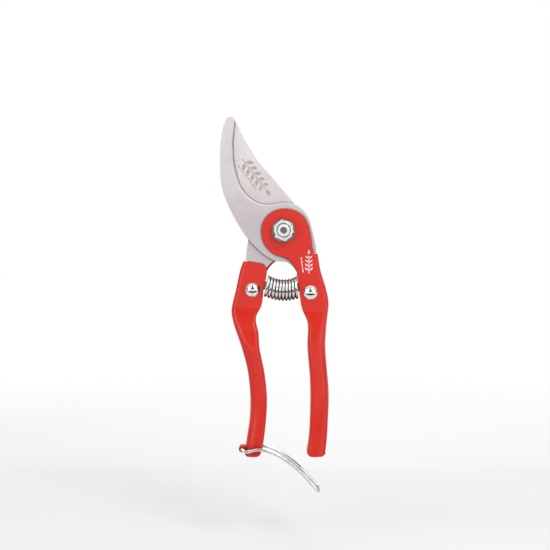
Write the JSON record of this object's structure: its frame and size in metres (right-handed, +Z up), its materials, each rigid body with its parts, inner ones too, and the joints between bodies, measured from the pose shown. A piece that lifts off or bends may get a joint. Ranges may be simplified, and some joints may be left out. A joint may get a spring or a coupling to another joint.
{
  "type": "pruning shears",
  "caption": "Bypass pruning shears with a crescent hook, a curved cutting blade, pressed channel handles, a coil spring and a wire latch.",
  "frame": {"origin": "on the pivot axis, midway between the two sliding blade faces", "axes": "+Z up towards the blade tips, -Y the front where the pivot nut is, +X towards the hook blade's handle"},
  "size_m": [0.0674, 0.0202, 0.231],
  "materials": {
    "red_handle": "gloss",
    "blade_steel": "satin, ground lengthwise",
    "plated_fastener": "bright plated",
    "spring_wire": "bright plated"
  },
  "bodies": {
    "hook_side": {"right_handle": "red_handle", "hook_blade": "blade_steel", "right_rivet": "plated_fastener", "pivot_bolt": "plated_fastener", "pivot_nut": "plated_fastener", "front_washer": "plated_fastener", "rear_washer": "plated_fastener", "return_spring": "spring_wire"},
    "blade_side": {"left_handle": "red_handle", "cutting_blade": "blade_steel", "left_rivet": "plated_fastener"},
    "latch": {"latch_bail": "spring_wire"}
  },
  "joints": [
    {"name": "jaw_pivot", "type": "hinge", "parent": "hook_side", "child": "blade_side", "pos_m": [0, 0, 0], "axis": [0, 1, 0], "range_deg": [0, 28], "deforming": ["return_spring"]},
    {"name": "latch_pivot", "type": "hinge", "parent": "blade_side", "child": "latch", "pos_m": [-0.0256, 0, -0.1347], "axis": [0, 1, 0], "range_deg": [-28, 75]}
  ]
}
